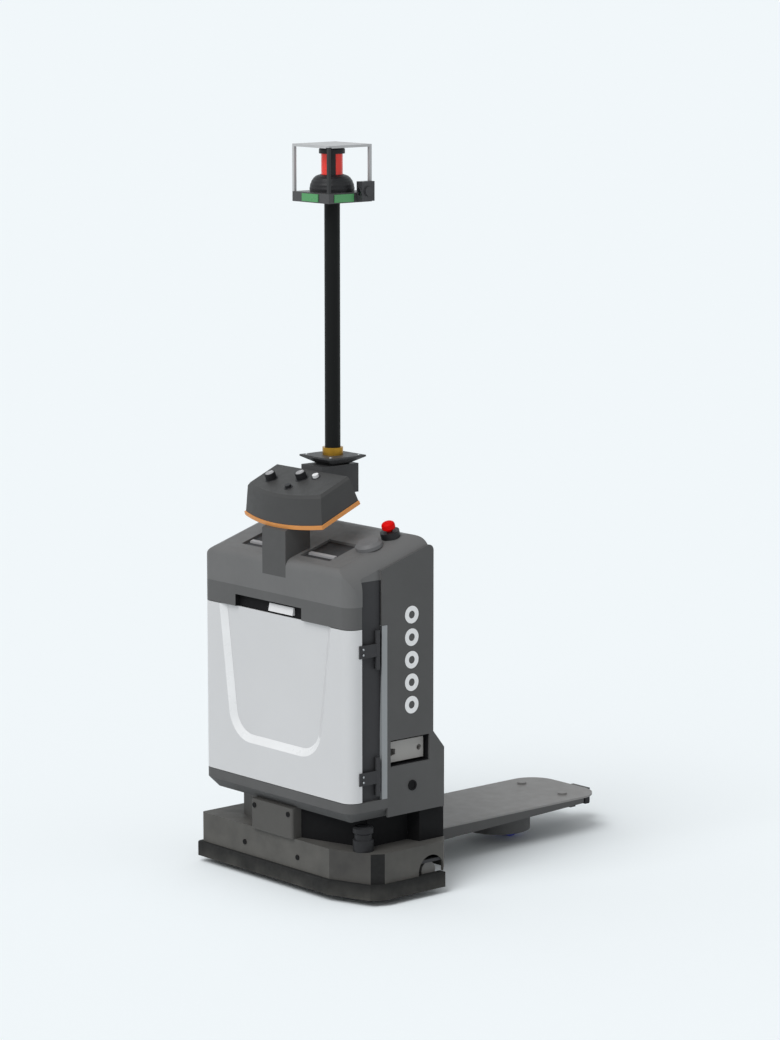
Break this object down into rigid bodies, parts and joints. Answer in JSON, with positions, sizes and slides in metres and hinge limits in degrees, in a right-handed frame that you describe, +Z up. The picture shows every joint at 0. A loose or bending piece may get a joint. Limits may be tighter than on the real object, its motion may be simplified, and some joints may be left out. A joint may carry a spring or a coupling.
{
  "type": "autonomous mobile robot",
  "caption": "Driverless tug robot: low wheeled base with rear load deck, tower body with hinged door, operator console, and a mast with a caged navigation scanner.",
  "frame": {"origin": "on the floor, at the middle of the bounding box", "axes": "+Z up, -Y towards the front door, +X towards the side with the charging recess"},
  "size_m": [0.813, 1.33, 2.291],
  "materials": {
    "silver_paint": "satin silver paint on a moulded skin",
    "graphite_paint": "fine textured dark grey paint",
    "base_paint": "textured grey paint",
    "dark_channel": "dark grey paint",
    "cast_paint": "painted casting",
    "cap_plastic": "moulded grey plastic",
    "console_plastic": "moulded dark grey plastic",
    "orange_plastic": "orange plastic",
    "black_plastic": "black plastic",
    "white_plastic": "white plastic",
    "grey_plastic": "light grey plastic",
    "red_plastic": "red plastic",
    "green_plastic": "green light strip",
    "red_window": "dark red sensor window",
    "mast_paint": "black powder coat",
    "gold_metal": "gold passivated",
    "steel": "machined steel",
    "black_rubber": "black rubber",
    "blue_wheel": "blue polyurethane",
    "black_wheel": "black polyurethane"
  },
  "bodies": {
    "base": {"base_skirt": "base_paint", "bumper_strip": "black_rubber", "chassis_frame": "steel", "neck_tower": "cast_paint", "base_screws": "steel", "safety_scanner": "black_plastic", "steer_ring": "steel", "side_axles": "steel", "floor_tray": "dark_channel", "body_frame": "steel", "door_jambs": "dark_channel", "rear_cover": "graphite_paint", "battery_pack": "black_plastic", "controller_box": "grey_plastic", "hinge_barrels": "steel", "door_header": "graphite_paint", "top_cap": "cap_plastic", "tray_bars": "grey_plastic", "stop_base": "black_plastic", "sounder_dome": "grey_plastic", "charge_housing": "black_plastic", "contact_block": "grey_plastic", "key_switch": "black_plastic", "side_marks": "white_plastic", "console_stem": "graphite_paint", "console_band": "orange_plastic", "console_shell": "console_plastic", "mast_bracket": "mast_paint", "mast_collar": "gold_metal", "mast_tube": "mast_paint", "scanner_cage": "grey_plastic", "status_lights": "green_plastic", "scanner_foot": "black_plastic", "scanner_window": "red_window", "scanner_cap": "black_plastic", "camera_module": "black_plastic", "deck_plate": "graphite_paint", "deck_rails": "graphite_paint", "caster_fairing": "graphite_paint", "caster_plate": "steel", "tip_mounting": "grey_plastic", "tip_sensor": "black_plastic", "side_panel_left": "graphite_paint", "side_panel_right": "graphite_paint"},
    "door": {"front_door": "silver_paint", "hinge_leaves": "steel"},
    "latch": {"door_latch": "grey_plastic"},
    "stop": {"stop_button": "red_plastic"},
    "steering": {"drive_yoke": "steel", "drive_motor": "black_plastic"},
    "drive_roll": {"drive_wheel": "black_wheel"},
    "left_roll": {"side_wheel_left": "black_wheel"},
    "right_roll": {"side_wheel_right": "black_wheel"},
    "swivel": {"caster_fork": "steel"},
    "caster_roll": {"caster_wheel": "blue_wheel"},
    "rotor": {"scanner_rotor": "black_plastic"},
    "left_knob": {"knob_left": "grey_plastic"},
    "right_knob": {"knob_right": "grey_plastic"},
    "white_button": {"button_white": "white_plastic"},
    "dark_button": {"button_dark": "black_plastic"}
  },
  "joints": [
    {"name": "door_hinge", "type": "hinge", "parent": "base", "child": "door", "pos_m": [0.355, -0.553, 0.59], "axis": [0, 0, 1], "range_deg": [0, 110]},
    {"name": "latch_pivot", "type": "hinge", "parent": "base", "child": "latch", "pos_m": [0, -0.6473, 0.89], "axis": [-1, 0, 0], "range_deg": [0, 30], "stiffness_Nm_per_rad": 0.4},
    {"name": "stop_press", "type": "slide", "parent": "base", "child": "stop", "axis": [0, 0.2924, -0.9563], "range_m": [0, 0.006]},
    {"name": "steering", "type": "hinge", "parent": "base", "child": "steering", "pos_m": [0, -0.537, 0.2], "axis": [0, 0, 1], "range_deg": [-90, 90]},
    {"name": "drive_spin", "type": "hinge", "parent": "steering", "child": "drive_roll", "pos_m": [0, -0.537, 0.08], "axis": [1, 0, 0], "continuous": true},
    {"name": "left_wheel_spin", "type": "hinge", "parent": "base", "child": "left_roll", "pos_m": [-0.29, -0.368, 0.076], "axis": [1, 0, 0], "continuous": true},
    {"name": "right_wheel_spin", "type": "hinge", "parent": "base", "child": "right_roll", "pos_m": [0.29, -0.368, 0.076], "axis": [1, 0, 0], "continuous": true},
    {"name": "caster_swivel", "type": "hinge", "parent": "base", "child": "swivel", "pos_m": [0, 0.269, 0.11], "axis": [0, 0, 1], "continuous": true},
    {"name": "caster_spin", "type": "hinge", "parent": "swivel", "child": "caster_roll", "pos_m": [0, 0.319, 0.042], "axis": [1, 0, 0], "continuous": true},
    {"name": "scanner_spin", "type": "hinge", "parent": "base", "child": "rotor", "pos_m": [0, -0.428, 2.2], "axis": [0, 0, 1], "continuous": true},
    {"name": "left_knob_turn", "type": "hinge", "parent": "base", "child": "left_knob", "pos_m": [-0.105, -0.58647, 1.26151], "axis": [0, -0.3907, 0.9205], "range_deg": [-60, 60]},
    {"name": "right_knob_turn", "type": "hinge", "parent": "base", "child": "right_knob", "pos_m": [0.008, -0.55886, 1.27323], "axis": [0, -0.3907, 0.9205], "range_deg": [-60, 60]},
    {"name": "white_button_press", "type": "slide", "parent": "base", "child": "white_button", "axis": [0, 0.3907, -0.9205], "range_m": [0, 0.004], "stiffness_N_per_m": 300},
    {"name": "dark_button_press", "type": "slide", "parent": "base", "child": "dark_button", "axis": [0, 0.3907, -0.9205], "range_m": [0, 0.004], "stiffness_N_per_m": 300}
  ]
}
